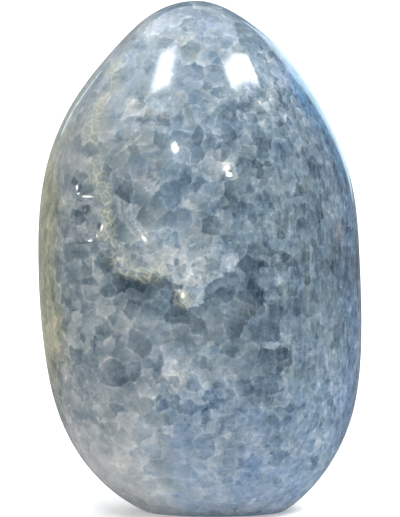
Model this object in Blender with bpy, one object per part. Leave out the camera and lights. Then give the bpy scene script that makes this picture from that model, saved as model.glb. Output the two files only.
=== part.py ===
"""Blue calcite freeform: one polished standing stone, ground flat at the foot so that it stands upright.

Metres, +Z up, the front towards -Y. The origin is on the surface that the stone stands on, under the middle of
its width and depth. The stone is one solid. Its level sections are a rounded polygon, seen from above, that is
stretched to the stone's reach to the left, right, front and back at each height.
"""

import math

import bmesh
import bpy
import numpy as np

MM = 0.001

# Driving dimensions, in millimetres
HEIGHT = 150.0
# Reach from the upright axis at equal steps of the rise angle, from the foot's rim to the crown.
# A reach below zero means that the section lies wholly on the other side of the axis.
#         foot                                                         crown
LEFT = (16.6, 31.4, 41.8, 46.5, 47.9, 46.4, 38.7, 25.9, 14.0, 1.0)
RIGHT = (25.0, 37.0, 45.6, 48.2, 47.6, 45.0, 36.4, 24.4, 10.8, -1.0)
FRONT = (9.5, 21.5, 29.0, 32.5, 34.0, 32.5, 27.5, 19.5, 10.5, 0.0)
BACK = (12.5, 22.0, 28.5, 32.5, 34.0, 33.0, 28.0, 20.0, 10.5, 0.0)
FOOT_ANGLE = math.radians(18.5)

# The soft flats that the wheel left round the stone, seen from above: (azimuth from +X in degrees, distance
# from the axis as a share of the reach). They are the front, the right flank, the right of the back, the back,
# the left of the back, the left side and the front's left corner.
PLAN_FLATS = (
    (-92.0, 1.00),
    (-24.0, 0.90),
    (38.0, 1.08),
    (90.0, 1.00),
    (138.0, 1.12),
    (190.0, 1.00),
    (230.0, 1.20),
)
EDGE_SHARPNESS = 7.0
# How far a section turns from that polygon into a plain ellipse, half way up and at the two ends
ROUNDING_MIDDLE = 0.15
ROUNDING_ENDS = 1.0

SIDES = 80
RINGS = 44

CALCITE_BLUE = (0.32, 0.44, 0.55, 1.0)
CALCITE_ROUGHNESS = 0.08
CALCITE_IOR = 1.6


def clear_scene():
    for obj in list(bpy.data.objects):
        bpy.data.objects.remove(obj)


def natural_spline(values, share):
    """The smooth curve through values, which stand at equal steps of share from 0 to 1, read at share.

    It is the natural cubic spline: its second derivative is unbroken, and zero at both ends.
    """
    values = np.asarray(values, float)
    last = len(values) - 1
    system = np.eye(last + 1)
    bends = np.zeros(last + 1)
    for i in range(1, last):
        system[i, i - 1 : i + 2] = (1.0, 4.0, 1.0)
        bends[i] = 6.0 * (values[i - 1] - 2.0 * values[i] + values[i + 1])
    curve = np.linalg.solve(system, bends)
    place = np.asarray(share, float) * last
    left = np.clip(np.floor(place).astype(int), 0, last - 1)
    b = place - left
    a = 1.0 - b
    straight = a * values[left] + b * values[left + 1]
    return straight + ((a**3 - a) * curve[left] + (b**3 - b) * curve[left + 1]) / 6.0


def height_at(share):
    """Height in millimetres: the cosine of the rise angle, so that rings crowd at the foot and the crown."""
    angle = FOOT_ANGLE + (math.pi - FOOT_ANGLE) * share
    return HEIGHT * (math.cos(FOOT_ANGLE) - math.cos(angle)) / (1.0 + math.cos(FOOT_ANGLE))


def unit_plan(turn):
    """The level section's x and y at each turn round the axis, in a box from -1 to 1.

    The rounded polygon's radius is one over the power mean of the nearness to each flat.
    """
    nearness = np.zeros_like(turn)
    for azimuth, distance in PLAN_FLATS:
        facing = np.cos(turn - math.radians(azimuth)) / distance
        nearness += np.maximum(facing, 0.0) ** EDGE_SHARPNESS
    radius = nearness ** (-1.0 / EDGE_SHARPNESS)
    x = radius * np.cos(turn)
    y = radius * np.sin(turn)
    x = 2.0 * (x - x.min()) / (x.max() - x.min()) - 1.0
    y = 2.0 * (y - y.min()) / (y.max() - y.min()) - 1.0
    return x, y


def section(share):
    """One level ring of the stone, in metres, at a share of the rise from the foot to the crown."""
    turn = np.linspace(0.0, 2.0 * math.pi, SIDES, endpoint=False)
    polygon_x, polygon_y = unit_plan(turn)
    rounding = ROUNDING_MIDDLE + (ROUNDING_ENDS - ROUNDING_MIDDLE) * (2.0 * share - 1.0) ** 2
    x = polygon_x + rounding * (np.cos(turn) - polygon_x)
    y = polygon_y + rounding * (np.sin(turn) - polygon_y)
    left, right, front, back = (
        float(natural_spline(reach, share)) for reach in (LEFT, RIGHT, FRONT, BACK)
    )
    x = 0.5 * (right - left) + 0.5 * (right + left) * x
    y = 0.5 * (back - front) + 0.5 * (back + front) * y
    z = height_at(share)
    return [(px * MM, py * MM, z * MM) for px, py in zip(x, y)]


def stone_mesh():
    """Level rings bridged from the foot to the crown, with a flat face under the foot and a point on top."""
    bm = bmesh.new()
    rings = []
    for i in range(RINGS):
        ring = [bm.verts.new(point) for point in section(i / RINGS)]
        rings.append(ring)
    bm.faces.new(reversed(rings[0]))
    for low, high in zip(rings, rings[1:]):
        for j in range(SIDES):
            k = (j + 1) % SIDES
            bm.faces.new((low[j], low[k], high[k], high[j]))
    crown = bm.verts.new((-LEFT[-1] * MM, -FRONT[-1] * MM, HEIGHT * MM))
    for j in range(SIDES):
        bm.faces.new((rings[-1][j], rings[-1][(j + 1) % SIDES], crown))
    mesh = bpy.data.meshes.new("calcite_stone")
    bm.to_mesh(mesh)
    bm.free()
    mesh.shade_smooth()
    mesh.set_sharp_from_angle(angle=math.radians(15.0))
    return mesh


def calcite_material():
    """Polished pale blue calcite."""
    material = bpy.data.materials.new("polished_blue_calcite")
    material.use_nodes = True
    shader = material.node_tree.nodes["Principled BSDF"]
    shader.inputs["Base Color"].default_value = CALCITE_BLUE
    shader.inputs["Roughness"].default_value = CALCITE_ROUGHNESS
    shader.inputs["IOR"].default_value = CALCITE_IOR
    shader.inputs["Metallic"].default_value = 0.0
    return material


def main():
    clear_scene()
    stone = bpy.data.objects.new("calcite_stone", stone_mesh())
    stone.data.materials.append(calcite_material())
    bpy.context.scene.collection.objects.link(stone)


main()
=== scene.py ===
"""Looks of the blue calcite freeform: the polished stone with its crystals, on a plain pale studio floor.

Lengths are in millimetres unless a name or a line says otherwise, +Z is up and the front is towards -Y.
"""

import math

import bpy
import numpy as np
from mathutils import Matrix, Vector


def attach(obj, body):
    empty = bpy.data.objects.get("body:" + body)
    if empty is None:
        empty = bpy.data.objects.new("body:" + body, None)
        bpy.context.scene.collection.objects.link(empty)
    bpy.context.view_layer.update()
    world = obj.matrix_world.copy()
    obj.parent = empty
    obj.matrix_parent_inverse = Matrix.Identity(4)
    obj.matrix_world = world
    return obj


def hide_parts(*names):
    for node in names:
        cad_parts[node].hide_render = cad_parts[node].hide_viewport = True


bl_info = {
    "name": "Blue Calcite Freeform",
    "version": (1, 0, 0),
    "blender": (4, 5, 0),
    "location": "3D View > Sidebar > Calcite",
    "description": "Makes a polished freeform of blue calcite and the plain studio that it stands in",
    "category": "Object",
}

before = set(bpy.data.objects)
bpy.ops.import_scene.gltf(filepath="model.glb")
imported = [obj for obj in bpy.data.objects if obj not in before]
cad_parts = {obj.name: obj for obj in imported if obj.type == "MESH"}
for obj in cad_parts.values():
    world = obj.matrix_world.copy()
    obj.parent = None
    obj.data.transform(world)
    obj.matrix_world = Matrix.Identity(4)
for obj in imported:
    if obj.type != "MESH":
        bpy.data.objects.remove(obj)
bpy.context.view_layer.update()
MM = 0.001

HEIGHT = 150.0
# Reach from the upright axis at equal steps of the rise angle, from the foot's rim to the crown
LEFT = (16.6, 31.4, 41.8, 46.5, 47.9, 46.4, 38.7, 25.9, 14.0, 1.0)
RIGHT = (25.0, 37.0, 45.6, 48.2, 47.6, 45.0, 36.4, 24.4, 10.8, -1.0)
FRONT = (9.5, 21.5, 29.0, 32.5, 34.0, 32.5, 27.5, 19.5, 10.5, 0.0)
BACK = (12.5, 22.0, 28.5, 32.5, 34.0, 33.0, 28.0, 20.0, 10.5, 0.0)
FOOT_ANGLE = math.radians(18.5)
# Soft flats round the stone: (azimuth from +X in degrees, distance from the axis as a share of the reach)
PLAN_FLATS = (
    (-92.0, 1.00), (-24.0, 0.90), (38.0, 1.08), (90.0, 1.00), (138.0, 1.12), (190.0, 1.00), (230.0, 1.20),
)
EDGE_SHARPNESS = 7.0
ROUNDING_MIDDLE = 0.15
ROUNDING_ENDS = 1.0

SIDES = 400
RINGS = 234
FOOT_RINGS = 5

# Natural pits that the polish cut open: (x, z, radius, depth), all on the front
PITS = (
    (-5.4, 69.0, 0.9, 0.7),
    (-35.4, 98.0, 0.9, 0.6),
    (-32.3, 90.4, 1.2, 0.8),
    (-28.4, 85.9, 0.8, 0.6),
)

# Crystals that stand out on the front: (kind, x, z, half width, half height, turn in degrees)
CRYSTALS = (
    ("slate", -3.1, 142.5, 3.1, 2.2, 5),
    ("slate", -10.6, 137.0, 2.9, 1.7, 18),
    ("milky", -17.2, 132.9, 1.8, 2.4, 0),
    ("slate", -14.8, 131.0, 2.0, 1.3, 40),
    ("slate", -2.4, 129.1, 3.1, 2.8, 0),
    ("mist", 3.9, 128.4, 3.1, 3.1, 0),
    ("slate", 5.3, 123.0, 2.5, 1.2, -5),
    ("mist", 2.4, 120.0, 2.5, 2.7, 0),
    ("slate", 12.9, 120.4, 2.3, 2.4, 0),
    ("slate", -1.1, 122.4, 1.1, 2.1, 0),
    ("mist", -8.8, 118.8, 2.0, 3.0, 0),
    ("slate", 7.4, 115.7, 2.8, 2.4, 0),
    ("slate", 10.5, 112.8, 3.1, 1.8, 0),
    ("deep", 22.6, 124.3, 1.6, 2.2, 10),
    ("slate", 16.1, 110.3, 2.4, 1.8, 0),
    ("deep", 17.4, 106.7, 1.5, 1.2, 0),
    ("slate", -21.5, 111.6, 4.6, 1.2, 35),
    ("mist", -21.1, 114.5, 5.2, 1.0, 32),
    ("mist", -11.8, 105.6, 4.8, 1.4, 5),
    ("mist", -8.8, 101.4, 3.9, 2.8, 0),
    ("slate", -5.3, 111.0, 2.5, 1.4, 0),
    ("deep", -1.3, 110.3, 1.1, 2.0, 0),
    ("slate", -1.0, 105.6, 2.0, 1.7, 0),
    ("teal", -0.8, 99.6, 1.7, 2.6, 0),
    ("slate", -7.7, 95.7, 2.2, 3.1, 0),
    ("slate", -3.3, 97.1, 1.4, 1.7, 0),
    ("milky", 2.8, 102.5, 2.5, 3.1, 0),
    ("milky", 3.3, 96.6, 2.8, 2.0, 0),
    ("slate", 12.1, 102.5, 2.5, 2.6, 0),
    ("mist", 17.0, 101.8, 2.3, 2.6, 0),
    ("deep", 8.6, 96.2, 1.7, 2.8, 0),
    ("teal", 8.4, 90.1, 1.7, 2.0, 0),
    ("slate", 12.4, 97.1, 2.3, 2.5, 0),
    ("slate", 3.2, 86.3, 3.4, 2.2, 0),
    ("slate", 7.5, 82.8, 1.7, 1.1, 0),
    ("teal", 32.7, 101.6, 2.4, 4.0, 15),
    ("deep", 40.5, 96.4, 1.7, 6.3, 8),
    ("deep", 33.7, 89.9, 1.9, 3.4, 0),
    ("deep", -21.0, 95.7, 2.3, 2.5, 0),
    ("slate", -26.4, 101.4, 1.2, 1.4, 0),
    ("deep", -34.8, 88.2, 1.4, 2.5, 0),
    ("deep", 18.3, 83.2, 0.9, 2.0, 10),
    ("deep", 20.9, 89.2, 1.2, 1.7, 0),
    ("deep", 41.9, 84.2, 1.8, 2.2, 0),
    ("deep", 34.2, 82.5, 1.9, 2.5, 0),
    ("slate", -33.7, 79.2, 3.7, 1.7, 0),
    ("slate", -7.9, 81.8, 1.4, 1.7, 0),
    ("deep", -21.9, 70.5, 1.7, 1.4, 0),
    ("deep", -16.7, 69.3, 2.0, 2.2, 0),
    ("slate", -11.9, 71.9, 2.3, 1.4, 0),
    ("slate", -8.6, 70.2, 1.7, 2.2, 0),
    ("deep", -6.3, 66.6, 1.4, 1.4, 0),
    ("slate", -18.4, 62.8, 2.3, 1.7, 0),
    ("moss", -26.5, 57.1, 2.1, 2.0, 0),
    ("slate", -5.8, 61.4, 3.9, 2.8, 0),
    ("slate", -0.3, 58.0, 2.0, 1.7, 0),
    ("slate", -16.6, 53.1, 3.4, 2.8, 0),
    ("slate", -24.7, 44.0, 4.4, 3.7, 0),
    ("deep", 13.0, 75.6, 2.5, 2.0, 0),
    ("deep", 16.7, 75.1, 1.1, 2.2, 10),
    ("slate", 7.5, 66.6, 2.0, 2.0, 0),
    ("slate", 13.5, 67.8, 3.7, 2.5, 0),
    ("deep", 16.1, 65.0, 1.7, 1.4, 0),
    ("slate", 9.6, 58.0, 2.8, 3.4, 0),
    ("slate", 7.8, 52.7, 2.0, 1.4, 0),
    ("deep", 20.0, 55.9, 2.3, 2.2, 0),
    ("slate", 21.9, 61.4, 2.7, 2.0, 0),
    ("deep", 26.5, 72.2, 1.8, 1.4, 0),
    ("deep", 38.7, 72.9, 2.1, 2.5, 0),
    ("deep", 42.5, 73.6, 1.8, 2.2, 0),
    ("slate", 39.1, 54.3, 2.5, 2.5, 0),
    ("deep", 18.3, 49.4, 2.0, 2.3, -30),
    ("deep", 23.5, 50.1, 1.9, 1.4, 0),
    ("slate", 21.0, 43.5, 2.1, 0.8, 0),
    ("deep", 19.8, 40.0, 2.3, 1.7, 0),
    ("slate", 12.2, 40.7, 1.7, 2.8, 0),
    ("slate", -7.7, 43.1, 1.7, 1.1, 0),
    ("slate", -1.4, 41.5, 2.0, 1.7, 0),
    ("deep", -10.4, 35.3, 1.7, 1.4, 0),
    ("slate", -3.1, 35.1, 2.2, 2.3, 0),
    ("deep", 2.9, 35.5, 1.4, 1.1, 20),
    ("slate", 26.2, 34.5, 2.0, 0.7, 0),
    ("slate", -24.1, 34.0, 2.4, 1.0, 0),
    ("slate", 1.6, 25.5, 2.8, 2.3, 0),
    ("slate", 2.2, 22.0, 1.7, 1.5, 0),
    ("mist", -13.8, 23.4, 2.6, 2.7, 0),
    ("mist", 15.8, 21.2, 2.8, 2.4, 0),
    ("slate", 21.3, 19.3, 3.3, 2.8, 10),
    ("mist", -4.0, 15.0, 3.9, 2.6, 0),
    ("slate", -19.2, 45.5, 1.7, 1.7, 0),
    ("milky", -7.4, 46.0, 2.0, 1.4, 0),
    ("milky", -21.1, 31.0, 2.0, 2.6, 0),
    ("moss", -35.1, 48.5, 2.2, 2.3, 0),
    ("slate", -31.4, 71.0, 1.6, 1.0, 0),
)
# How light a crystal is, from 0 for the darkest to 1 for white, and its tint, from -1 for violet to 1 for green
KINDS = {
    "deep": (0.00, -0.5),
    "slate": (0.20, -0.4),
    "teal": (0.12, -0.1),
    "moss": (0.10, 0.9),
    "mist": (0.43, 0.1),
    "milky": (0.75, 0.0),
}
# Half the width of a middling crystal, how far a crystal can reach, and how many places are tried for one
CRYSTAL_HALF = 2.2
CRYSTAL_REACH = 14.0
SEED_TRIES = 20000
# The stone's colours by lightness: (lightness, where it lies from the deep colour at 0 to the frost colour at 3)
STONE_RAMP = ((0.00, 0.00), (0.18, 0.38), (0.34, 1.00), (0.50, 1.46), (0.66, 2.00), (0.82, 2.39), (1.00, 3.00))

# The white veil on the front: the corners of its outline, (x, z). Its upper edge fades out below VEIL_TOP
VEIL = (
    (-26.8, 95.0), (-26.8, 86.1), (-25.2, 82.8), (-24.7, 79.4), (-23.3, 76.0), (-22.4, 72.4), (-19.2, 71.9),
    (-16.5, 71.5), (-14.8, 73.4), (-12.4, 73.1), (-10.4, 71.9), (-8.4, 70.0), (-6.8, 68.1), (-4.8, 65.7),
    (-3.7, 63.3), (-1.8, 63.3), (0.9, 64.7), (1.8, 66.4), (0.9, 69.0), (3.6, 70.2), (6.0, 72.4), (9.0, 73.4),
    (10.4, 76.3), (11.0, 84.0), (11.0, 95.0),
)
VEIL_TOP = 84.0
# Lines along which iron has stained the seams pale yellow, (x, z)
STAINS = (
    (
        (-29.0, 118.5), (-31.0, 112.0), (-30.4, 106.0), (-29.0, 99.4), (-26.9, 96.4), (-25.8, 88.5),
        (-26.9, 83.7), (-23.8, 78.7), (-21.5, 74.3), (-16.0, 72.5), (-11.2, 73.4),
    ),
    ((-24.0, 131.0), (-25.2, 127.0)),
    ((-5.0, 67.8), (-4.7, 65.8)),
)
# Glints painted white into the colour, where clean faces inside the stone throw the light back:
# (x, z, half width, half height, turn in degrees)
GLINTS = (
    (-7.1, 108.0, 1.0, 1.5, 14.0),
    (7.3, 102.3, 1.00, 0.80, 20.0),
    (8.1, 100.3, 0.85, 0.50, 0.0),
    (-31.6, 94.1, 1.7, 0.26, 0.0),
    (-30.7, 92.9, 0.5, 0.20, 0.0),
    (-34.7, 96.6, 0.35, 0.7, 0.0),
    (-30.9, 81.8, 0.6, 0.28, 10.0),
    (-4.8, 66.9, 0.50, 0.95, 0.0),
    (-27.5, 85.6, 0.25, 1.0, -16.0),
    (-15.6, 82.6, 0.40, 0.85, 36.0),
)
# Small clefts that the eye looks into, painted dark with the shade inside them, in the same columns
CLEFTS = (
    (-35.6, 98.2, 0.7, 1.3, 15.0),
    (-33.9, 96.4, 0.55, 1.2, -10.0),
    (-32.3, 90.4, 1.3, 1.4, 0.0),
    (-28.4, 85.9, 0.6, 0.9, -20.0),
    (-32.6, 81.2, 2.3, 0.32, 8.0),
    (-5.6, 69.2, 0.7, 0.7, 0.0),
    (-7.3, 69.4, 1.4, 0.8, -35.0),
    (38.8, 78.2, 2.4, 0.30, -43.0),
)
# Thin pale layers of the stone seen on edge, in the same columns
LAMELLAE = (
    (-30.0, 75.8, 0.28, 4.0, 0.0),
    (-22.6, 91.5, 0.7, 4.2, 5.0),
    (-20.1, 86.1, 0.6, 3.8, 36.0),
    (-19.3, 92.6, 0.4, 3.2, 2.0),
    (-16.7, 86.3, 0.5, 3.4, 42.0),
    (-24.7, 79.9, 1.8, 0.35, 12.0),
    (-4.2, 112.6, 3.4, 0.45, -6.0),
    (-20.0, 108.6, 5.5, 0.45, 38.0),
)
# Places where iron shows rose brown, in the same columns
ROSY_SPOTS = (
    (39.8, 83.5, 1.3, 2.6, 0.0),
    (41.2, 79.8, 0.7, 0.9, 0.0),
    (-23.0, 56.5, 1.6, 0.8, 20.0),
)
# Broad soft patches of the front that are milkier, or clearer where it is below 0, and one painted glow of light:
# (x, z, half width, half height, lightness)
PATCHES = (
    (-8.0, 122.0, 26.0, 18.0, 0.05),
    (-17.0, 141.5, 5.0, 5.0, 0.17),
    (-4.0, 141.0, 6.0, 5.0, -0.05),
    (25.0, 129.5, 6.0, 6.0, 0.12),
    (-25.0, 85.0, 4.0, 4.0, -0.06),
    (-25.5, 51.0, 6.0, 6.0, -0.09),
    (-26.0, 14.0, 7.0, 6.0, 0.17),
    (17.0, 67.0, 4.5, 5.0, -0.06),
    (32.0, 107.0, 6.0, 7.0, 0.03),
    (35.0, 58.0, 4.0, 7.0, 0.15),
    (43.5, 52.0, 3.0, 6.0, -0.06),
    (-17.0, 129.0, 15.0, 12.0, 0.07),
    (-31.0, 109.0, 9.0, 8.0, 0.04),
    (-38.0, 98.0, 7.0, 7.0, 0.14),
    (-21.0, 107.5, 5.0, 5.0, -0.06),
    (-8.5, 115.0, 4.5, 8.0, 0.13),
    (-32.0, 88.0, 6.0, 6.0, -0.05),
    (-15.5, 85.0, 5.0, 4.0, 0.13),
    (-17.5, 60.0, 5.0, 5.0, 0.15),
    (22.0, 107.0, 14.0, 13.0, -0.12),
    (14.0, 93.0, 14.0, 7.0, -0.05),
    (24.0, 68.0, 18.0, 17.0, -0.14),
    (-34.0, 76.0, 12.0, 9.0, -0.06),
    (-16.0, 66.0, 13.0, 6.0, -0.13),
    (-9.5, 80.5, 5.0, 3.5, 0.12),
    # This patch is a painted glow of light round the two glints here
    (7.2, 102.3, 2.2, 2.6, 0.13),
    (-6.5, 46.7, 2.0, 1.8, 0.09),
    (24.7, 11.8, 3.0, 2.4, 0.12),
    (4.0, 60.0, 7.0, 4.0, 0.04),
    (-26.0, 40.0, 12.0, 10.0, 0.05),
    (-30.0, 26.0, 12.0, 12.0, 0.10),
    (-22.0, 10.0, 14.0, 10.0, 0.10),
    (-6.0, 26.0, 9.0, 6.0, 0.08),
    (10.0, 13.0, 16.0, 7.0, -0.12),
    (17.0, 74.0, 4.5, 5.0, -0.11),
    (45.0, 59.0, 4.0, 6.0, -0.13),
    (41.0, 80.0, 4.0, 6.0, -0.05),
    (47.0, 86.0, 3.0, 6.0, 0.06),
    (46.0, 72.0, 4.0, 6.0, -0.10),
    (46.0, 50.0, 4.0, 12.0, 0.12),
    (40.0, 28.0, 5.0, 9.0, 0.08),
    (-44.0, 95.0, 4.0, 6.0, 0.06),
    (0.0, 83.5, 12.0, 4.0, 0.08),
    (-27.0, 72.0, 4.0, 4.0, 0.12),
    (-43.0, 54.0, 5.0, 10.0, 0.10),
    (-35.0, 25.0, 5.0, 5.0, 0.07),
    (0.0, 130.0, 5.0, 4.0, 0.09),
    (5.0, 48.5, 9.0, 5.0, 0.05),
    (18.0, 52.0, 5.0, 9.0, -0.12),
    (9.0, 33.0, 7.0, 8.0, -0.06),
    (26.0, 76.0, 5.0, 8.0, -0.07),
    (26.0, 37.0, 4.0, 5.0, 0.05),
    (-25.0, 130.0, 4.5, 4.5, 0.14),
    (-9.0, 96.0, 4.0, 4.0, 0.07),
    (-36.0, 61.0, 4.0, 5.0, 0.06),
)


def linear(hex_colour):
    """An sRGB hex colour as linear red, green, blue and alpha."""
    values = []
    for i in (1, 3, 5):
        level = int(hex_colour[i : i + 2], 16) / 255.0
        values.append(level / 12.92 if level <= 0.04045 else ((level + 0.055) / 1.055) ** 2.4)
    return (*values, 1.0)


def add(tree, kind, settings, links, stops=()):
    """Add one node with its settings, and give each input its value or the socket that feeds it.

    Stops are a colour ramp's (place, linear colour) pairs. The node's outputs are returned.
    """
    node = tree.nodes.new(kind)
    for name, value in settings.items():
        setattr(node, name, value)
    for name, value in links.items():
        if isinstance(value, bpy.types.NodeSocket):
            tree.links.new(value, node.inputs[name])
        else:
            node.inputs[name].default_value = value
    for i, (place, colour) in enumerate(stops):
        stop = node.color_ramp.elements[i] if i < 2 else node.color_ramp.elements.new(place)
        stop.position = place
        stop.color = colour
    return node.outputs


def weighted_sum(tree, start, parts):
    """Start plus each part's socket times its weight."""
    total = start
    for socket, weight in parts:
        total = add(tree, "ShaderNodeMath", {"operation": "MULTIPLY_ADD"}, {0: socket, 1: weight, 2: total})[0]
    return total


def natural_spline(values, share):
    """The natural cubic spline through values at equal steps of share from 0 to 1, read at share."""
    values = np.asarray(values, float)
    last = len(values) - 1
    system = np.eye(last + 1)
    bends = np.zeros(last + 1)
    for i in range(1, last):
        system[i, i - 1 : i + 2] = (1.0, 4.0, 1.0)
        bends[i] = 6.0 * (values[i - 1] - 2.0 * values[i] + values[i + 1])
    curve = np.linalg.solve(system, bends)
    place = share * last
    left = np.clip(np.floor(place).astype(int), 0, last - 1)
    b = place - left
    a = 1.0 - b
    straight = a * values[left] + b * values[left + 1]
    return straight + ((a**3 - a) * curve[left] + (b**3 - b) * curve[left + 1]) / 6.0


def stone_surface(turn, rise):
    """The stone's surface at each turn round the axis (radians) and each share of the rise, foot to crown.

    The plan is a polygon whose radius is one over the power mean of the nearness to each flat. It turns into an
    ellipse towards both ends, and is stretched to the reach on each side. The height is the cosine of the rise
    angle. The result is an array of rings by turns by x, y and z.
    """
    nearness = np.zeros_like(turn)
    for azimuth, distance in PLAN_FLATS:
        facing = np.cos(turn - math.radians(azimuth)) / distance
        nearness += np.maximum(facing, 0.0) ** EDGE_SHARPNESS
    radius = nearness ** (-1.0 / EDGE_SHARPNESS)
    polygon_x = radius * np.cos(turn)
    polygon_y = radius * np.sin(turn)
    polygon_x = 2.0 * (polygon_x - polygon_x.min()) / np.ptp(polygon_x) - 1.0
    polygon_y = 2.0 * (polygon_y - polygon_y.min()) / np.ptp(polygon_y) - 1.0
    rounding = (ROUNDING_MIDDLE + (ROUNDING_ENDS - ROUNDING_MIDDLE) * (2.0 * rise - 1.0) ** 2)[:, None]
    unit_x = polygon_x + rounding * (np.cos(turn) - polygon_x)
    unit_y = polygon_y + rounding * (np.sin(turn) - polygon_y)
    left, right, front, back = (natural_spline(reach, rise)[:, None] for reach in (LEFT, RIGHT, FRONT, BACK))
    x = 0.5 * (right - left) + 0.5 * (right + left) * unit_x
    y = 0.5 * (back - front) + 0.5 * (back + front) * unit_y
    angle = FOOT_ANGLE + (math.pi - FOOT_ANGLE) * rise
    z = HEIGHT * (math.cos(FOOT_ANGLE) - np.cos(angle)) / (1.0 + math.cos(FOOT_ANGLE))
    return np.stack((x, y, np.broadcast_to(z[:, None], x.shape)), axis=-1)


def outward(surface):
    """Unit normals of a grid of rings: the cross product of the steps round and up."""
    round_step = np.roll(surface, -1, axis=1) - np.roll(surface, 1, axis=1)
    up_step = np.gradient(surface, axis=0)
    normals = np.cross(round_step, up_step)
    return normals / np.linalg.norm(normals, axis=-1, keepdims=True)


def front_index(points, x, z):
    """For each x and z, the index of the point on the front half that is nearest to it, seen from the front."""
    apart = (points[:, 0, None] - x) ** 2 + (points[:, 2, None] - z) ** 2
    apart[points[:, 1] > 0.0] += HEIGHT**2
    return np.argmin(apart, axis=0)


def hand_waviness(points, height):
    """Height of the faint waves that polishing by hand leaves: five sines in seeded directions, 17 to 40 mm long."""
    source = np.random.default_rng(11)
    waves = np.zeros(len(points))
    for length in (40.0, 33.0, 26.0, 21.0, 17.0):
        direction = source.normal(size=3)
        direction /= np.linalg.norm(direction)
        phase = source.uniform(0.0, 2.0 * math.pi)
        waves += np.sin(points @ direction * (2.0 * math.pi / length) + phase) * (length / 40.0)
    return height * waves / 3.0


def pit_depths(points):
    """Depth of the natural pits: a bowl, (1 - (d / radius)^2)^2 of its depth at distance d from its middle."""
    depth = np.zeros(len(points))
    for x, z, radius, deepest in PITS:
        middle = points[front_index(points, np.array([x]), np.array([z]))[0]]
        apart = np.linalg.norm(points - middle, axis=1) / radius
        depth = np.maximum(depth, deepest * np.maximum(1.0 - apart**2, 0.0) ** 2)
    return depth


def crystal_seeds(points, normals):
    """The crystals of the mosaic: the placed ones, and seeded ones that fill the rest of the surface.

    Each has a middle on the surface, a half width and half height, a turn, a lightness and a tint. A seeded one
    is kept where it stands clear of those before it by about the mean of their sizes.
    """
    source = np.random.default_rng(5)
    x = np.array([row[1] for row in CRYSTALS])
    z = np.array([row[2] for row in CRYSTALS])
    middles = list(front_index(points, x, z))
    half_width = [row[3] for row in CRYSTALS]
    half_height = [row[4] for row in CRYSTALS]
    turn = [math.radians(row[5]) for row in CRYSTALS]
    lightness = [KINDS[row[0]][0] for row in CRYSTALS]
    tint = [KINDS[row[0]][1] for row in CRYSTALS]

    grainy, _, _, _, _, foot, _, _ = zone_fields(points, normals)
    veil = outline_distance(points, VEIL)
    veil[points[:, 2] > VEIL_TOP] = -9.0
    candidates = source.integers(0, len(points), SEED_TRIES)
    for middle, share in zip(candidates, np.linspace(1.0, 0.0, SEED_TRIES)):
        place = points[middle]
        typical = CRYSTAL_HALF * (1.0 - 0.35 * grainy[middle]) * (0.50 + 0.90 * share**2)
        typical *= source.uniform(0.85, 1.15)
        if veil[middle] > -1.0:
            typical *= 0.6
        placed = points[middles]
        size = 0.5 * (np.array(half_width) + np.array(half_height))
        apart = np.linalg.norm(placed - place, axis=1)
        if np.any(apart < 0.88 * (size + typical)):
            continue
        stretch = source.uniform(0.8, 1.3)
        middles.append(middle)
        half_width.append(typical / stretch)
        half_height.append(typical * stretch)
        turn.append(source.uniform(-0.6, 0.6))
        # Seeded crystals lighten towards the foot, partly as painted light from the floor
        value = source.normal(0.50, 0.13) - 0.05 * grainy[middle] + 0.04 * foot[middle]
        if veil[middle] > 0.0:
            value += 0.12
        lightness.append(float(np.clip(value, 0.15, 0.85)))
        tint.append(source.uniform(-1.0, 1.0))
    return tuple(np.array(column) for column in (middles, half_width, half_height, turn, lightness, tint))


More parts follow.
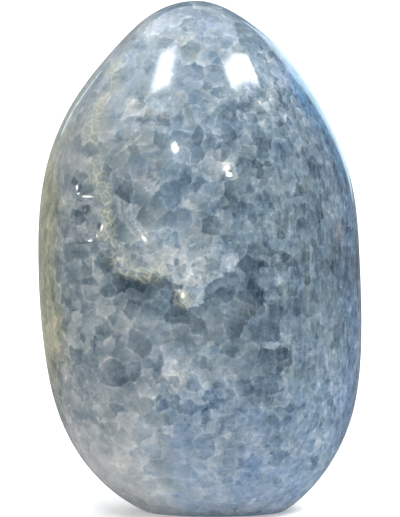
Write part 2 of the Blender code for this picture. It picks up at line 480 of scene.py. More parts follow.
def crystal_fields(points, normals):
    """The mosaic of crystals, as numbers at each point that run evenly enough to be read between points.

    A point belongs to the crystal with the least power: the square of the distance in the crystal's own half
    sizes, less 1, times the square of its mean half size. That leaves flat sides between neighbours. Lightness is
    held to eight steps, as three binary digits, and each digit is a signed distance in mm to where it changes.
    The other two are the slope of shade across the crystal and its tint.
    """
    middles, half_width, half_height, turn, lightness, tint = crystal_seeds(points, normals)
    source = np.random.default_rng(8)
    wander = np.zeros_like(points)
    for length, height in ((9.0, 0.25), (5.0, 0.20), (3.0, 0.15)):
        for axis in range(3):
            direction = source.normal(size=3)
            direction /= np.linalg.norm(direction)
            phase = source.uniform(0.0, 2.0 * math.pi)
            wander[:, axis] += height * np.sin(points @ direction * (2.0 * math.pi / length) + phase)
    bent = points + wander

    count = len(middles)
    steps = np.clip(np.round(lightness * 7.0), 0, 7).astype(int)
    digits = np.stack([(steps >> 2) & 1, (steps >> 1) & 1, steps & 1], axis=1)
    normal = normals[middles]
    across = np.cross((0.0, 0.0, 1.0), normal)
    across /= np.maximum(np.linalg.norm(across, axis=1, keepdims=True), 1e-6)
    upward = np.cross(normal, across)
    cosine = np.cos(turn)[:, None]
    sine = np.sin(turn)[:, None]
    along = (across * cosine + upward * sine) / half_width[:, None]
    beside = (upward * cosine - across * sine) / half_height[:, None]
    mean_half = 0.5 * (half_width + half_height)
    inwards = normal / mean_half[:, None]
    frames = np.stack((along, beside, inwards), axis=1) * mean_half[:, None, None]
    metrics = frames.transpose(0, 2, 1) @ frames

    nearest = np.full((3, 2, len(points)), 1e9)
    owner = np.zeros((3, 2, len(points)), int)
    whose = np.zeros(len(points), int)
    least = np.full(len(points), 1e9)
    for i in range(count):
        near = np.flatnonzero(np.abs(points[:, 2] - points[middles[i], 2]) < CRYSTAL_REACH)
        near = near[np.abs(points[near, 0] - points[middles[i], 0]) < CRYSTAL_REACH]
        near = near[np.abs(points[near, 1] - points[middles[i], 1]) < CRYSTAL_REACH]
        offset = (bent[near] - points[middles[i]]) @ frames[i].T
        power = (offset**2).sum(axis=1) - mean_half[i] ** 2
        closer = power < least[near]
        least[near[closer]] = power[closer]
        whose[near[closer]] = i
        for digit in range(3):
            value = digits[i, digit]
            closer = power < nearest[digit, value][near]
            nearest[digit, value][near[closer]] = power[closer]
            owner[digit, value][near[closer]] = i
    fields = []
    for digit in range(3):
        slopes = [
            2.0 * np.einsum("nij,nj->ni", metrics[closest], bent - points[middles[closest]])
            for closest in owner[digit]
        ]
        steepness = np.linalg.norm(slopes[0] - slopes[1], axis=1) + 1e-6
        fields.append(np.clip((nearest[digit, 0] - nearest[digit, 1]) / steepness, -5.0, 5.0))
    axes = source.normal(size=(count, 3))
    axes /= np.linalg.norm(axes, axis=1, keepdims=True)
    slope = ((bent - points[middles[whose]]) * axes[whose]).sum(axis=1)
    return *fields, slope, tint[whose]


def line_distance(points, lines):
    """Distance in mm, seen from the front, from each point to the nearest of some bent lines."""
    place = points[:, (0, 2)]
    best = np.full(len(points), 50.0)
    for line in lines:
        for start, end in zip(np.array(line[:-1]), np.array(line[1:])):
            along = end - start
            share = np.clip((place - start) @ along / (along @ along), 0.0, 1.0)
            best = np.minimum(best, np.linalg.norm(place - start - share[:, None] * along, axis=1))
    best[points[:, 1] > 0.0] = 50.0
    return best


def outline_distance(points, outline):
    """Signed distance in mm, seen from the front, to a closed outline: positive inside, by the crossing rule."""
    closed = (*outline, outline[0])
    edge = line_distance(points, (closed,))
    x, z = points[:, 0], points[:, 2]
    inside = np.zeros(len(points), bool)
    for (x0, z0), (x1, z1) in zip(closed[:-1], closed[1:]):
        crosses = (z0 > z) != (z1 > z)
        inside ^= crosses & (x < (x1 - x0) * (z - z0) / (z1 - z0 + 1e-9) + x0)
    inside &= points[:, 1] < 0.0
    return np.where(inside, edge, -edge)


def mark_place(points, marks):
    """Where each point lies across and along the mark nearest to it, seen from the front, in its half sizes.

    Both are straight functions of the place, so that even a mark finer than the grid keeps a clean shape.
    """
    across = np.full(len(points), 99.0)
    along = np.full(len(points), 99.0)
    least = np.full(len(points), 1e9)
    for x, z, half_width, half_height, turn in marks:
        cosine = math.cos(math.radians(turn))
        sine = math.sin(math.radians(turn))
        aside = (points[:, 0] - x) * cosine + (points[:, 2] - z) * sine
        upward = (points[:, 2] - z) * cosine - (points[:, 0] - x) * sine
        beyond_side = np.maximum(np.abs(aside) - half_width, 0.0)
        beyond_end = np.maximum(np.abs(upward) - half_height, 0.0)
        apart = np.hypot(beyond_side, beyond_end)
        closer = (apart < least) & (points[:, 1] < 0.0)
        least[closer] = apart[closer]
        across[closer] = aside[closer] / half_width
        along[closer] = upward[closer] / half_height
    return across, along


def smooth_step(value, low, high):
    """0 at low, 1 at high, with the slope easing in and out between them."""
    share = np.clip((value - low) / (high - low), 0.0, 1.0)
    return share * share * (3.0 - 2.0 * share)


def zone_fields(points, normals):
    """Soft zones of the stone, each 0 to 1, and its tone.

    The zones are the grainy right side, the blue right rim, a painted glow of light along its upper part, the olive
    left rim, the milky left shoulder, the milky foot, lighter too with painted light from the floor, and the mauve
    lower front. The tone runs from -1 for a warmer grey to 1 for a purer blue.
    """
    azimuth = np.arctan2(normals[:, 1], normals[:, 0])
    height = points[:, 2]
    rightward = np.cos(azimuth + math.radians(25.0))
    beside = smooth_step(points[:, 1], -31.0, -9.0) * smooth_step(points[:, 1], 30.0, 12.0)
    fade_back = smooth_step(points[:, 1], 30.0, 6.0)
    behind = normals[:, 1] > 0.0
    right_edge = np.where(behind, fade_back, smooth_step(np.cos(azimuth), 0.72, 0.97))
    right_line = np.where(behind, fade_back, smooth_step(np.cos(azimuth), 0.78, 0.97))
    grainy = smooth_step(rightward, 0.15, 0.85) * smooth_step(height, 150.0, 110.0)
    rim = right_edge * smooth_step(height, 8.0, 30.0)
    # A painted glow of light in the upper part of the right rim
    glow = right_line * smooth_step(height, 74.0, 104.0) * smooth_step(height, 142.0, 125.0)
    olive = beside * smooth_step(height, 12.0, 60.0) * smooth_step(height, 112.0, 92.0)
    olive *= points[:, 0] < 0.0
    rim *= points[:, 0] > 0.0
    glow *= points[:, 0] > 0.0
    shoulder = smooth_step(-points[:, 0], 6.0, 30.0) * smooth_step(height, 92.0, 116.0)
    foot = smooth_step(height, 34.0, 4.0)
    mauve = 0.15 + 0.22 * smooth_step(height, 78.0, 28.0) * smooth_step(-normals[:, 0], -0.6, -0.1)
    tone = 0.45 * smooth_step(height, 118.0, 146.0) * smooth_step(points[:, 0], -22.0, 0.0) + 0.5 * rim
    tone += 1.5 * smooth_step(height, 58.0, 8.0) * smooth_step(normals[:, 0], -0.65, 0.5)
    tone -= 1.4 * smooth_step(-points[:, 0], 0.0, 32.0) * smooth_step(height, 132.0, 102.0)
    tone -= 0.15 * smooth_step(height, 120.0, 100.0) * smooth_step(height, 30.0, 50.0)
    return grainy, rim, glow, olive, shoulder, foot, mauve, tone


def patch_lightness(points, normals):
    """Sum of the soft patches: each falls off as a bell over its half sizes, and fades out towards the back."""
    total = np.zeros(len(points))
    for x, z, half_width, half_height, lightness in PATCHES:
        squared = ((points[:, 0] - x) / half_width) ** 2 + ((points[:, 2] - z) / half_height) ** 2
        total += lightness * np.exp(-0.7 * squared)
    return total * smooth_step(-normals[:, 1], -0.2, 0.2)


def stone_mesh(waviness):
    """The stone on a fine grid: rings from the foot's middle out to its rim, up to the crown, closed at both ends."""
    turn = np.linspace(0.0, 2.0 * math.pi, SIDES, endpoint=False)
    rise = np.linspace(0.0, 1.0, RINGS + 1)[:-1]
    wall = stone_surface(turn, rise)
    normals = outward(wall)
    centre = wall[0].mean(axis=0)
    shares = np.linspace(0.0, 1.0, FOOT_RINGS + 1)[1:-1, None, None]
    foot = centre + (wall[0] - centre) * shares
    down = np.zeros_like(foot)
    down[..., 2] = -1.0

    crown = np.array(((-LEFT[-1], -FRONT[-1], HEIGHT),))
    points = np.concatenate((foot.reshape(-1, 3), wall.reshape(-1, 3), crown, centre[None]))
    directions = np.concatenate(
        (down.reshape(-1, 3), normals.reshape(-1, 3), ((0.0, 0.0, 1.0),), ((0.0, 0.0, -1.0),))
    )
    lift = hand_waviness(points, waviness) * smooth_step(points[:, 2], 1.0, 12.0)
    lift *= smooth_step(points[:, 2], HEIGHT, HEIGHT - 8.0)
    moved = points + directions * (lift - pit_depths(points))[:, None]

    rings = FOOT_RINGS - 1 + RINGS
    first = np.arange(rings - 1)[:, None] * SIDES + np.arange(SIDES)
    after = np.arange(rings - 1)[:, None] * SIDES + (np.arange(SIDES) + 1) % SIDES
    quads = np.stack((first, after, after + SIDES, first + SIDES), axis=-1).reshape(-1, 4)
    top = (rings - 1) * SIDES + np.arange(SIDES)
    top_next = (rings - 1) * SIDES + (np.arange(SIDES) + 1) % SIDES
    crown_fan = np.stack((top, top_next, np.full(SIDES, rings * SIDES)), axis=-1)
    low = np.arange(SIDES)
    foot_fan = np.stack(((low + 1) % SIDES, low, np.full(SIDES, rings * SIDES + 1)), axis=-1)

    mesh = bpy.data.meshes.new("polished_stone")
    mesh.from_pydata((moved * MM).tolist(), [], quads.tolist() + crown_fan.tolist() + foot_fan.tolist())
    mesh.shade_smooth()
    mesh.set_sharp_from_angle(angle=math.radians(15.0))

    coarse, middling, fine, slope, tint = crystal_fields(points, directions)
    grainy, rim, glow, olive, shoulder, foot, mauve, tone = zone_fields(points, directions)
    glint_across, glint_along = mark_place(points, GLINTS)
    cleft_across, cleft_along = mark_place(points, CLEFTS)
    lamella_across, lamella_along = mark_place(points, LAMELLAE)
    rosy_across, rosy_along = mark_place(points, ROSY_SPOTS)
    fields = {
        "coarse_step": coarse,
        "middling_step": middling,
        "fine_step": fine,
        "crystal_slope": slope,
        "crystal_tint": tint,
        "veil": outline_distance(points, VEIL),
        "veil_fade": smooth_step(points[:, 2], VEIL_TOP, VEIL_TOP - 9.0),
        "stain": line_distance(points, STAINS),
        "glint_across": glint_across,
        "glint_along": glint_along,
        "cleft_across": cleft_across,
        "cleft_along": cleft_along,
        "lamella_across": lamella_across,
        "lamella_along": lamella_along,
        "rosy_across": rosy_across,
        "rosy_along": rosy_along,
        "patch": patch_lightness(points, directions),
        "grainy_side": grainy,
        "blue_rim": rim,
        "painted_rim_glow": glow,
        "olive_rim": olive,
        "milky_shoulder": shoulder,
        "milky_foot_and_painted_light": foot,
        "mauve": mauve,
        "tone": tone,
    }
    for name, values in fields.items():
        attribute = mesh.attributes.new(name, "FLOAT", "POINT")
        attribute.data.foreach_set("value", values.astype(np.float32))
    return mesh


def crystal_layer(tree, place, size):
    """One mosaic of crystals of a mean size in mm: random numbers for each crystal, and the slope of shade in it."""
    cell = add(tree, "ShaderNodeTexVoronoi", {"feature": "F1"}, {"Vector": place, "Scale": 1.0 / size})
    random = add(tree, "ShaderNodeSeparateColor", {}, {0: cell["Color"]})
    offset = add(tree, "ShaderNodeVectorMath", {"operation": "SUBTRACT"}, {0: place, 1: cell["Position"]})[0]
    axis = add(tree, "ShaderNodeVectorMath", {"operation": "SUBTRACT"}, {0: cell["Color"], 1: (0.5, 0.5, 0.5)})[0]
    slope = add(tree, "ShaderNodeVectorMath", {"operation": "DOT_PRODUCT"}, {0: offset, 1: axis})["Value"]
    return random, slope


def calcite_material(settings):
    """Blue calcite, sawn, ground and polished by hand.

    It is a mass of interlocked crystals. A clear one shows the deeper, bluer stone behind it, a clouded one is
    pale and frosty, and light that is caught along the boundaries makes a broken milky net round both.
    """
    material = bpy.data.materials.new("polished_blue_calcite")
    material.use_nodes = True
    tree = material.node_tree
    shader = tree.nodes["Principled BSDF"]

    at = add(tree, "ShaderNodeTexCoord", {}, {})
    flat = add(tree, "ShaderNodeVectorMath", {"operation": "SCALE"}, {0: at["Object"], "Scale": 1.0 / MM})[0]
    attributes = {}
    for name in (
        "coarse_step", "middling_step", "fine_step", "crystal_slope", "crystal_tint", "veil", "veil_fade", "stain",
        "glint_across", "glint_along", "cleft_across", "cleft_along", "lamella_across", "lamella_along",
        "rosy_across", "rosy_along", "patch", "grainy_side", "blue_rim", "painted_rim_glow", "olive_rim",
        "milky_shoulder", "milky_foot_and_painted_light", "mauve", "tone",
    ):
        attributes[name] = add(tree, "ShaderNodeAttribute", {"attribute_name": name}, {})["Fac"]

    # Grains and deeper crystals, whose boundaries wander so that no side is straight. Grains stand upright.
    wander = add(tree, "ShaderNodeTexNoise", {}, {"Vector": flat, "Scale": 0.30, "Detail": 4.0, "Roughness": 0.65})
    wander = add(
        tree, "ShaderNodeVectorMath", {"operation": "SUBTRACT"}, {0: wander["Color"], 1: (0.5, 0.5, 0.5)}
    )[0]
    place = add(
        tree, "ShaderNodeVectorMath", {"operation": "MULTIPLY_ADD"}, {0: wander, 1: (1.8, 1.8, 1.8), 2: flat}
    )[0]
    upright = add(tree, "ShaderNodeVectorMath", {"operation": "MULTIPLY"}, {0: place, 1: (1.0, 1.0, 0.95)})[0]
    inward = add(tree, "ShaderNodeVectorMath", {"operation": "SCALE"}, {0: at["Normal"], "Scale": -3.5})[0]
    below = add(
        tree, "ShaderNodeVectorMath", {"operation": "MULTIPLY_ADD"}, {0: wander, 1: (6.0, 6.0, 6.0), 2: inward}
    )[0]
    below = add(tree, "ShaderNodeVectorMath", {"operation": "ADD"}, {0: below, 1: flat})[0]
    deep_random, deep_slope = crystal_layer(tree, below, settings.deep_crystal / MM)
    grain_random, grain_slope = crystal_layer(tree, upright, settings.grain / MM)
    crumb_random, crumb_slope = crystal_layer(tree, upright, settings.crumb / MM)
    grain_edge = add(
        tree, "ShaderNodeTexVoronoi", {"feature": "DISTANCE_TO_EDGE"}, {"Vector": upright, "Scale": MM / settings.grain}
    )["Distance"]
    grain_edge = add(tree, "ShaderNodeMath", {"operation": "MULTIPLY"}, {0: grain_edge, 1: settings.grain / MM})[0]

    # Noises: (name, length in mm, detail, roughness)
    noises = {}
    for name, length, detail, roughness in (
        ("cloud", 22.0, 3.0, 0.5), ("patch", 9.0, 2.0, 0.5), ("scatter", 3.6, 2.0, 0.5), ("frost", 1.3, 5.0, 0.65),
    ):
        noises[name] = add(
            tree, "ShaderNodeTexNoise", {},
            {"Vector": flat, "Scale": 1.0 / length, "Detail": detail, "Roughness": roughness},
        )["Fac"]
    along = add(tree, "ShaderNodeVectorMath", {"operation": "MULTIPLY"}, {0: place, 1: (1.0, 1.0, 0.16)})[0]
    streak = add(tree, "ShaderNodeTexNoise", {}, {"Vector": along, "Scale": 0.9, "Detail": 2.0})["Fac"]

    # Masks from the noises: (name, value, where it is 0, where it is 1)
    masks = {}
    for name, value, none, full in (
        ("crisp", noises["patch"], 0.42, 0.60),
        ("netted", noises["scatter"], 0.46, 0.66),
        ("grainy", noises["cloud"], 0.44, 0.58),
        ("rusty", noises["scatter"], 0.34, 0.50),
        ("dark_grain", grain_random["Green"], 0.26, 0.16),
        ("bright_grain", grain_random["Green"], 0.86, 0.94),
        ("grain_seam", grain_edge, 0.38, 0.06),
        ("grain_shade", grain_edge, 0.9, 0.45),
        ("haze", streak, 0.42, 0.62),
    ):
        masks[name] = add(
            tree, "ShaderNodeMapRange", {"interpolation_type": "SMOOTHSTEP"},
            {"Value": value, "From Min": none, "From Max": full},
        )["Result"]

    # The large crystals: eight steps of lightness from three binary digits. A step is crisp where a crystal comes
    # to the surface and soft where milky stone covers it. Its lighter side has a bright lip, its darker one a shadow.
    ragged = weighted_sum(tree, -0.35, ((noises["frost"], 0.70),))
    softness = weighted_sum(tree, 0.62, ((masks["crisp"], -0.52),))
    light = 0.0
    edge = 9.0
    for name, weight in (("coarse_step", 0.140), ("middling_step", 0.085), ("fine_step", 0.045)):
        step = add(tree, "ShaderNodeMath", {"operation": "ADD"}, {0: attributes[name], 1: ragged})[0]
        away = add(tree, "ShaderNodeMath", {"operation": "ABSOLUTE"}, {0: step})[0]
        edge = add(tree, "ShaderNodeMath", {"operation": "MINIMUM"}, {0: edge, 1: away})[0]
        share = add(tree, "ShaderNodeMath", {"operation": "DIVIDE"}, {0: step, 1: softness})[0]
        level = add(
            tree, "ShaderNodeMapRange", {"interpolation_type": "SMOOTHSTEP"},
            {"Value": share, "From Min": -1.0, "From Max": 1.0},
        )["Result"]
        lip = add(
            tree, "ShaderNodeMapRange", {},
            {"Value": step, "From Min": -0.8, "From Max": 0.8, "To Min": -math.pi, "To Max": math.pi},
        )["Result"]
        lip = add(tree, "ShaderNodeMath", {"operation": "SINE"}, {0: lip})[0]
        light = weighted_sum(tree, light, ((level, weight), (lip, 0.20 * weight)))
    for name, none, full in (("halo", 1.5, 0.0), ("seam", 0.34, 0.04)):
        masks[name] = add(
            tree, "ShaderNodeMapRange", {"interpolation_type": "SMOOTHSTEP"},
            {"Value": edge, "From Min": none, "From Max": full},
        )["Result"]

    # Where the stone is veined white, its lower edge breaks off sharply, with a band of painted shade below it
    veil_edge = weighted_sum(tree, attributes["veil"], ((noises["frost"], 3.0), (noises["scatter"], 4.0)))
    for name, none, full in (("inside", 3.2, 3.8), ("deep_inside", 4.5, 9.0), ("shadow", -0.5, 3.2)):
        masks[name] = add(
            tree, "ShaderNodeMapRange", {"interpolation_type": "SMOOTHSTEP"},
            {"Value": veil_edge, "From Min": none, "From Max": full},
        )["Result"]
    veil = weighted_sum(tree, 0.0, ((masks["inside"], attributes["veil_fade"]),))
    veil_core = weighted_sum(tree, 0.0, ((masks["deep_inside"], veil),))
    veil_shadow = weighted_sum(tree, 0.0, ((masks["shadow"], attributes["veil_fade"]),))

    # Grains show where the stone is grainy, on its right side and in the veil
    grainy = weighted_sum(
        tree, 0.12, ((masks["grainy"], 0.38), (attributes["grainy_side"], 0.55), (veil, 0.4)),
    )
    netted = weighted_sum(tree, 0.0, ((masks["netted"], masks["seam"]),))
    grain_net = weighted_sum(tree, 0.0, ((masks["grain_seam"], masks["netted"]),))
    grain_light = weighted_sum(
        tree, 0.0,
        (
            (masks["dark_grain"], -0.14), (masks["bright_grain"], 0.06), (grain_slope, 0.12), (grain_net, 0.05),
            (crumb_random["Red"], 0.08), (crumb_slope, 0.10), (streak, 0.12),
            (noises["scatter"], 0.24),
        ),
    )
    light = weighted_sum(
        tree, light,
        (
            (attributes["crystal_slope"], 0.034), (deep_random["Red"], 0.10), (deep_slope, 0.02),
            (masks["halo"], 0.035), (netted, 0.09), (grain_light, grainy), (noises["frost"], 0.31),
            # painted shade in a band below the white veil's lower edge
            (noises["cloud"], 0.10), (veil, 0.15), (veil_core, -0.06), (veil_shadow, -0.07),
            (attributes["grainy_side"], -0.10),
            # painted light: a glow at the top of the right rim
            (attributes["blue_rim"], -0.10), (attributes["olive_rim"], 0.02), (attributes["painted_rim_glow"], 0.08),
            # the foot is milkier, and lighter with painted light from the floor
            (attributes["milky_foot_and_painted_light"], 0.08), (attributes["patch"], 0.8),
        ),
    )
    light = add(tree, "ShaderNodeMath", {"operation": "MULTIPLY_ADD"}, {0: light, 1: 0.93, 2: -0.043})[0]

    # At the foot the stone is milkier and lighter, partly with painted light from the floor, at the left shoulder it
    # is milkier, and on the right a haze covers some of what is behind
    for name, share, level in (
        ("milky_foot_and_painted_light", 0.45, 0.60), ("milky_shoulder", 0.32, 0.66), ("grainy_side", 0.16, 0.30),
    ):
        covered = weighted_sum(tree, 0.0, ((attributes[name], share),))
        light = add(tree, "ShaderNodeMix", {"data_type": "FLOAT"}, {0: covered, 2: light, 3: level})[0]

    # Marks: how far out of the nearest glint, cleft or lamella, in its half sizes, with edges that fray
    fray = add(tree, "ShaderNodeTexNoise", {}, {"Vector": flat, "Scale": 0.9, "Detail": 4.0, "Roughness": 0.7})
    fray = add(
        tree, "ShaderNodeVectorMath", {"operation": "SUBTRACT"}, {0: fray["Color"], 1: (0.5, 0.5, 0.5)}
    )[0]
    fray = add(tree, "ShaderNodeSeparateXYZ", {}, {0: fray})
    marks = {}
    for name, raggedness in (("glint", 1.6), ("cleft", 2.0), ("lamella", 2.0), ("rosy", 3.0)):
        across = weighted_sum(tree, attributes[name + "_across"], ((fray["X"], raggedness),))
        along = weighted_sum(tree, attributes[name + "_along"], ((fray["Y"], raggedness),))
        square = add(tree, "ShaderNodeMath", {"operation": "MULTIPLY"}, {0: across, 1: across})[0]
        square = add(tree, "ShaderNodeMath", {"operation": "MULTIPLY_ADD"}, {0: along, 1: along, 2: square})[0]
        marks[name] = add(tree, "ShaderNodeMath", {"operation": "SQRT"}, {0: square})[0]

    # Iron has crept along the seams near the stain lines, with a band of painted shade beside them
    stain_near = weighted_sum(tree, attributes["stain"], ((noises["frost"], 5.0), (noises["scatter"], 5.0)))
    for name, value, none, full in (
        ("stained", stain_near, 8.8, 5.2),
        ("glint", marks["glint"], 1.25, 0.60),
        # painted light round the glints
        ("glow", marks["glint"], 2.6, 1.0),
        ("cleft", marks["cleft"], 1.3, 0.85),
        ("lamella", marks["lamella"], 1.3, 0.2),
        ("rosy", marks["rosy"], 1.4, 0.2),
    ):
        masks[name] = add(
            tree, "ShaderNodeMapRange", {"interpolation_type": "SMOOTHSTEP"},
            {"Value": value, "From Min": none, "From Max": full},
        )["Result"]
    rust = weighted_sum(tree, 0.0, ((masks["stained"], masks["rusty"]),))
    rust_line = weighted_sum(tree, 0.0, ((masks["grain_seam"], rust),))
    # Painted shade: a band beside the stained seams, for their relief
    rust_shade = weighted_sum(tree, 0.0, ((masks["grain_shade"], rust),))
    light = weighted_sum(
        tree, light, ((rust_shade, -0.07), (rust_line, 0.08), (masks["glow"], 0.08), (masks["lamella"], 0.13))
    )

    # From the darkest clear crystal to white frost
    four = np.array((settings.deep_colour, settings.clear_colour, settings.cloudy_colour, settings.frost_colour))
    stops = []
    for place, share in STONE_RAMP:
        colour = [float(np.interp(share, range(4), four[:, channel])) for channel in range(3)]
        stops.append((place, (*colour, 1.0)))
    colour = add(tree, "ShaderNodeValToRGB", {}, {0: light}, stops)[0]
    tint = weighted_sum(
        tree, 0.15,
        (
            (attributes["crystal_tint"], 0.12), (deep_random["Blue"], 0.28), (grain_random["Blue"], 0.24),
            (noises["patch"], 0.50), (attributes["tone"], -0.34),
        ),
    )
    tints = ((0.0, "#D0E4FC"), (0.40, "#F3F8FF"), (0.70, "#FFFDF8"), (1.0, "#FFF3E6"))
    tints = [(place, linear(hex_colour)) for place, hex_colour in tints]
    tint = add(tree, "ShaderNodeValToRGB", {}, {0: tint}, tints)[0]
    colour = add(
        tree, "ShaderNodeMix", {"data_type": "RGBA", "blend_type": "MULTIPLY"}, {0: 1.0, 6: colour, 7: tint}
    )[2]

    # The lower front leans to mauve, and neighbours differ in it a little
    cast = weighted_sum(
        tree, attributes["mauve"], ((attributes["crystal_tint"], -0.12), (grain_random["Red"], 0.12))
    )
    colour = add(
        tree, "ShaderNodeMix", {"data_type": "RGBA", "blend_type": "MULTIPLY"},
        {0: cast, 6: colour, 7: linear("#FFF3FC")},
    )[2]

    # The right rim is bluer, with a painted glow of light at its top, and iron has soaked into the left rim:
    # (zone, tint)
    for name, dye in (("blue_rim", "#E2EEFF"), ("painted_rim_glow", "#B6E8FF"), ("olive_rim", "#F8F2D6")):
        amount = weighted_sum(tree, -1.5, ((attributes[name], 1.6), (noises["cloud"], 1.6), (noises["patch"], 0.8)))
        amount = add(
            tree, "ShaderNodeMapRange", {"interpolation_type": "SMOOTHSTEP"},
            {"Value": amount, "From Min": 0.2, "From Max": 1.1},
        )["Result"]
        colour = add(
            tree, "ShaderNodeMix", {"data_type": "RGBA", "blend_type": "MULTIPLY"},
            {0: amount, 6: colour, 7: linear(dye)},
        )[2]

    # Colours laid over it: (how much, weight, colour)
    haze = weighted_sum(tree, 0.0, ((masks["haze"], attributes["grainy_side"]),))
    stain_colour = (*settings.stain_colour, 1.0)
    for amount, weight, laid in (
        (haze, 0.14, linear("#84929A")),
        (rust, 0.22, stain_colour),
        (rust_line, 0.26, stain_colour),
        (masks["rosy"], 0.35, linear("#958B8B")),
        # painted shade inside the clefts
        (masks["cleft"], 0.75, linear("#35454F")),
    ):
        share = weighted_sum(tree, 0.0, ((amount, weight),))
        colour = add(tree, "ShaderNodeMix", {"data_type": "RGBA"}, {0: share, 6: colour, 7: laid})[2]
    # Painted glints: white, or cream near the stain, laid over the colour
    glint_colour = add(
        tree, "ShaderNodeMix", {"data_type": "RGBA"},
        {0: masks["stained"], 6: linear("#F6FAFA"), 7: linear("#EFE7C6")},
    )[2]
    colour = add(tree, "ShaderNodeMix", {"data_type": "RGBA"}, {0: masks["glint"], 6: colour, 7: glint_colour})[2]
    tree.links.new(colour, shader.inputs["Base Color"])

    shader.inputs["Metallic"].default_value = 0.0
    shader.inputs["IOR"].default_value = 1.6
    roughness = weighted_sum(tree, settings.roughness, ((netted, 0.08), (masks["cleft"], 0.30)))
    tree.links.new(roughness, shader.inputs["Roughness"])
    bump = add(
        tree, "ShaderNodeBump", {}, {"Strength": 0.12, "Distance": 0.05 * MM, "Height": masks["halo"]}
    )["Normal"]
    tree.links.new(bump, shader.inputs["Normal"])
    return material


def paper_material(settings):
    """Seamless background paper: matt, white and faintly mottled, so that only the stone's shadow shows on it.

    Its faint glow stands for the light that bright paper throws back at itself.
    """
    material = bpy.data.materials.new("seamless_white_paper")
    material.use_nodes = True
    tree = material.node_tree
    shader = tree.nodes["Principled BSDF"]
    at = add(tree, "ShaderNodeTexCoord", {}, {})
    mottle = add(tree, "ShaderNodeTexNoise", {}, {"Vector": at["Object"], "Scale": 40.0, "Detail": 3.0})["Fac"]
    dark, bright = ((*[channel * share for channel in settings.paper_colour], 1.0) for share in (0.98, 1.02))
    paper = add(tree, "ShaderNodeValToRGB", {}, {0: mottle}, ((0.3, dark), (0.7, bright)))[0]
    tree.links.new(paper, shader.inputs["Base Color"])
    shader.inputs["Roughness"].default_value = 0.9
    shader.inputs["Emission Color"].default_value = (1.0, 1.0, 1.0, 1.0)
    shader.inputs["Emission Strength"].default_value = 0.25
    shader.inputs["Specular IOR Level"].default_value = 0.1
    return material


class StoneSettings(bpy.types.PropertyGroup):
    waviness: bpy.props.FloatProperty(
        name="Waviness", description="Height of the faint waves that hand polishing leaves",
        default=0.06 * MM, min=0.0, unit="LENGTH", precision=5,
    )
    grain: bpy.props.FloatProperty(
        name="Grain size", description="Mean width of the grains between the large crystals",
        default=2.6 * MM, min=0.3 * MM, unit="LENGTH", precision=4,
    )
    crumb: bpy.props.FloatProperty(
        name="Crumb size", description="Mean width of the smallest grains",
        default=1.2 * MM, min=0.3 * MM, unit="LENGTH", precision=4,
    )
    deep_crystal: bpy.props.FloatProperty(
        name="Deep crystal size", description="Mean width of the crystals seen through the clear ones",
        default=6.5 * MM, min=0.5 * MM, unit="LENGTH", precision=4,
    )
    deep_colour: bpy.props.FloatVectorProperty(
        name="Deep colour", description="Colour of the clearest crystals, where the eye sees deepest",
        default=linear("#1F3343")[:3], min=0.0, max=1.0, subtype="COLOR",
    )
    clear_colour: bpy.props.FloatVectorProperty(
        name="Clear colour", description="Colour of clear crystals",
        default=linear("#607482")[:3], min=0.0, max=1.0, subtype="COLOR",
    )
    cloudy_colour: bpy.props.FloatVectorProperty(
        name="Cloudy colour", description="Colour of clouded crystals",
        default=linear("#A2AFB6")[:3], min=0.0, max=1.0, subtype="COLOR",
    )
    frost_colour: bpy.props.FloatVectorProperty(
        name="Frost colour", description="Colour of the whitest veils and seams",
        default=linear("#ECF3F4")[:3], min=0.0, max=1.0, subtype="COLOR",
    )
    stain_colour: bpy.props.FloatVectorProperty(
        name="Stain colour", description="Colour of the iron in the stained seams",
        default=linear("#C2C3A8")[:3], min=0.0, max=1.0, subtype="COLOR",
    )
    roughness: bpy.props.FloatProperty(
        name="Roughness", description="Roughness of the polish", default=0.12, min=0.0, max=1.0, subtype="FACTOR",
    )


class StudioSettings(bpy.types.PropertyGroup):
    distance: bpy.props.FloatProperty(
        name="Camera distance", description="From the camera to the middle of the stone",
        default=0.65, min=0.2, unit="LENGTH",
    )
    elevation: bpy.props.FloatProperty(
        name="Camera elevation", description="How far the camera looks down",
        default=math.radians(4.0), subtype="ANGLE",
    )
    lens: bpy.props.FloatProperty(
        name="Lens", description="Focal length over a 36 mm long side", default=154.3, min=10.0, unit="CAMERA",
    )
    surround: bpy.props.FloatProperty(
        name="Surround", description="Strength of the light from all round", default=0.30, min=0.0,
    )
    softbox: bpy.props.FloatProperty(
        name="Softbox", description="Brightness of the softboxes' faces, in watts per steradian and square metre",
        default=16.0, min=0.0,
    )
    overhead: bpy.props.FloatProperty(
        name="Overhead", description="Brightness of the wide light overhead", default=1.9, min=0.0,
    )
    fill: bpy.props.FloatProperty(
        name="Fill", description="Brightness of the wide fill light behind the camera", default=1.25, min=0.0,
    )
    paper_colour: bpy.props.FloatVectorProperty(
        name="Paper colour", description="Colour of the background paper",
        default=linear("#F6F6F6")[:3], min=0.0, max=1.0, subtype="COLOR",
    )


class CALCITE_OT_stone(bpy.types.Operator):
    """Make the polished stone, in place of the plain solid"""

    bl_idname = "calcite.stone"
    bl_label = "Make Stone"
    bl_options = {"REGISTER", "UNDO"}

    def execute(self, context):
        settings = context.scene.calcite_stone_settings
        stone = bpy.data.objects.new("polished_stone", stone_mesh(settings.waviness / MM))
        stone.data.materials.append(calcite_material(settings))
        context.scene.collection.objects.link(stone)
        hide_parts("calcite_stone")
        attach(stone, "root")
        return {"FINISHED"}


def aim(obj, place, target, roll=0.0):
    """Put a light or the camera at a place and turn its -Z axis to a target, rolled about that axis."""
    obj.location = place
    look = (Vector(target) - Vector(place)).to_track_quat("-Z", "Y").to_matrix().to_4x4()
    obj.rotation_euler = look.to_euler()
    if roll:
        obj.rotation_euler.rotate_axis("Z", roll)


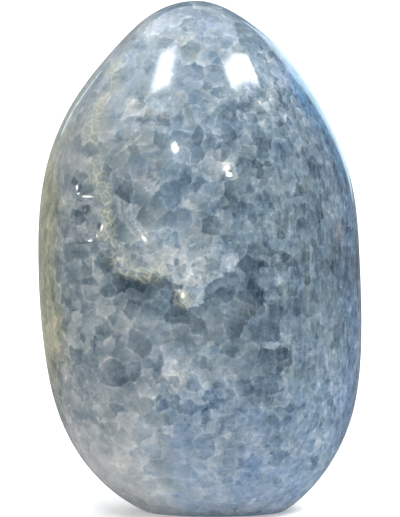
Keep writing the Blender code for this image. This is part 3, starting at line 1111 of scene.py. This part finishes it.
# Softboxes: (name, azimuth from the camera's side towards +X, elevation, roll, width, height, brightness share,
# colour), angles in degrees, sizes in metres at SOFTBOX_DISTANCE
SOFTBOX_DISTANCE = 1.2
SOFTBOXES = (
    ("left_softbox", -29.0, 56.0, 27.0, 0.15, 0.34, 1.0, "#FFFFFF"),
    ("right_softbox", 58.0, 55.0, -10.0, 0.95, 0.24, 1.0, "#FFFFFF"),
    ("right_rim_near", 170.8, 8.2, 12.0, 0.36, 0.42, 0.07, "#E0FAFF"),
    ("right_rim_far", 152.5, 16.0, 12.0, 0.42, 0.54, 0.13, "#E0F8FF"),
    ("left_strip", -151.0, 16.0, 0.0, 0.03, 0.26, 0.3, "#BFE2FF"),
    ("left_card", -142.0, 4.0, 0.0, 0.95, 0.62, 0.013, "#FFF6A8"),
)


def studio_light(name, place, target, width, height, radiance, roll=0.0):
    """One rectangular light. Its power is its face's radiance times its area times pi."""
    data = bpy.data.lights.new(name, "AREA")
    data.shape = "RECTANGLE"
    data.size = width
    data.size_y = height
    data.energy = radiance * width * height * math.pi
    light = bpy.data.objects.new(name, data)
    light.visible_camera = False
    bpy.context.scene.collection.objects.link(light)
    aim(light, place, target, roll)
    return light


def sweep_mesh():
    """Background paper: a profile carried along x, flat under the stone, round at the back and then upright."""
    turn = np.linspace(0.0, 0.5 * math.pi, 24)
    bend = 0.45
    flat_y = np.linspace(-2.4, 1.2, 12)
    profile_y = np.concatenate((flat_y, 1.2 + bend * np.sin(turn[1:]), np.full(5, 1.2 + bend)))
    profile_z = np.concatenate((np.zeros(12), bend * (1.0 - np.cos(turn[1:])), bend + np.linspace(0.3, 1.6, 5)))
    across = np.linspace(-3.6, 3.6, 19)
    y, x = np.meshgrid(profile_y, across, indexing="ij")
    z = np.broadcast_to(profile_z[:, None], x.shape)
    points = np.stack((x, y, z), axis=-1).reshape(-1, 3)
    rows, columns = x.shape
    corner = (np.arange(rows - 1)[:, None] * columns + np.arange(columns - 1)).reshape(-1)
    quads = np.stack((corner, corner + 1, corner + columns + 1, corner + columns), axis=-1)
    mesh = bpy.data.meshes.new("paper_sweep")
    mesh.from_pydata(points.tolist(), [], quads.tolist())
    mesh.shade_smooth()
    return mesh


class CALCITE_OT_studio(bpy.types.Operator):
    """Set the paper sweep, the lights and the camera"""

    bl_idname = "calcite.studio"
    bl_label = "Set Studio"
    bl_options = {"REGISTER", "UNDO"}

    def execute(self, context):
        scene = context.scene
        settings = scene.calcite_studio_settings
        paper = bpy.data.objects.new("paper_sweep", sweep_mesh())
        paper.data.materials.append(paper_material(settings))
        scene.collection.objects.link(paper)
        paper.visible_glossy = False

        world = bpy.data.worlds.new("soft_surround")
        world.use_nodes = True
        sky = world.node_tree.nodes["Background"]
        sky.inputs["Color"].default_value = (1.0, 1.0, 1.0, 1.0)
        sky.inputs["Strength"].default_value = settings.surround
        scene.world = world

        middle = (-0.06 * MM, 0.0, 74.82 * MM)
        for name, azimuth, elevation, roll, width, height, share, colour in SOFTBOXES:
            azimuth = math.radians(azimuth)
            elevation = math.radians(elevation)
            place = (
                middle[0] + SOFTBOX_DISTANCE * math.sin(azimuth) * math.cos(elevation),
                middle[1] - SOFTBOX_DISTANCE * math.cos(azimuth) * math.cos(elevation),
                middle[2] + SOFTBOX_DISTANCE * math.sin(elevation),
            )
            radiance = settings.softbox * share
            light = studio_light(name, place, middle, width, height, radiance, math.radians(roll))
            light.data.color = linear(colour)[:3]
        studio_light("overhead", (0.0, 0.3, 1.7), (0.0, 0.3, 0.0), 2.0, 2.0, settings.overhead)
        fill = studio_light("front_fill", (0.0, -2.0, 0.8), middle, 2.6, 1.8, settings.fill)
        fill.visible_glossy = False

        camera_data = bpy.data.cameras.new("camera")
        camera_data.sensor_fit = "AUTO"
        camera_data.sensor_width = 36.0
        camera_data.lens = settings.lens
        camera = bpy.data.objects.new("camera", camera_data)
        scene.collection.objects.link(camera)
        back = settings.distance * math.cos(settings.elevation)
        place = (middle[0], middle[1] - back, middle[2] + settings.distance * math.sin(settings.elevation))
        aim(camera, place, middle)
        scene.camera = camera
        scene.view_settings.view_transform = "Standard"
        return {"FINISHED"}


class CALCITE_PT_panel(bpy.types.Panel):
    bl_idname = "CALCITE_PT_panel"
    bl_label = "Calcite Freeform"
    bl_space_type = "VIEW_3D"
    bl_region_type = "UI"
    bl_category = "Calcite"

    def draw(self, context):
        layout = self.layout
        scene = context.scene
        for name in StoneSettings.__annotations__:
            layout.prop(scene.calcite_stone_settings, name)
        layout.operator("calcite.stone")
        for name in StudioSettings.__annotations__:
            layout.prop(scene.calcite_studio_settings, name)
        layout.operator("calcite.studio")


CLASSES = (StoneSettings, StudioSettings, CALCITE_OT_stone, CALCITE_OT_studio, CALCITE_PT_panel)


def register():
    for cls in CLASSES:
        bpy.utils.register_class(cls)
    bpy.types.Scene.calcite_stone_settings = bpy.props.PointerProperty(type=StoneSettings)
    bpy.types.Scene.calcite_studio_settings = bpy.props.PointerProperty(type=StudioSettings)


def unregister():
    del bpy.types.Scene.calcite_studio_settings
    del bpy.types.Scene.calcite_stone_settings
    for cls in reversed(CLASSES):
        bpy.utils.unregister_class(cls)


def main():
    register()
    bpy.ops.calcite.stone()
    bpy.ops.calcite.studio()


if __name__ == "__main__":
    main()
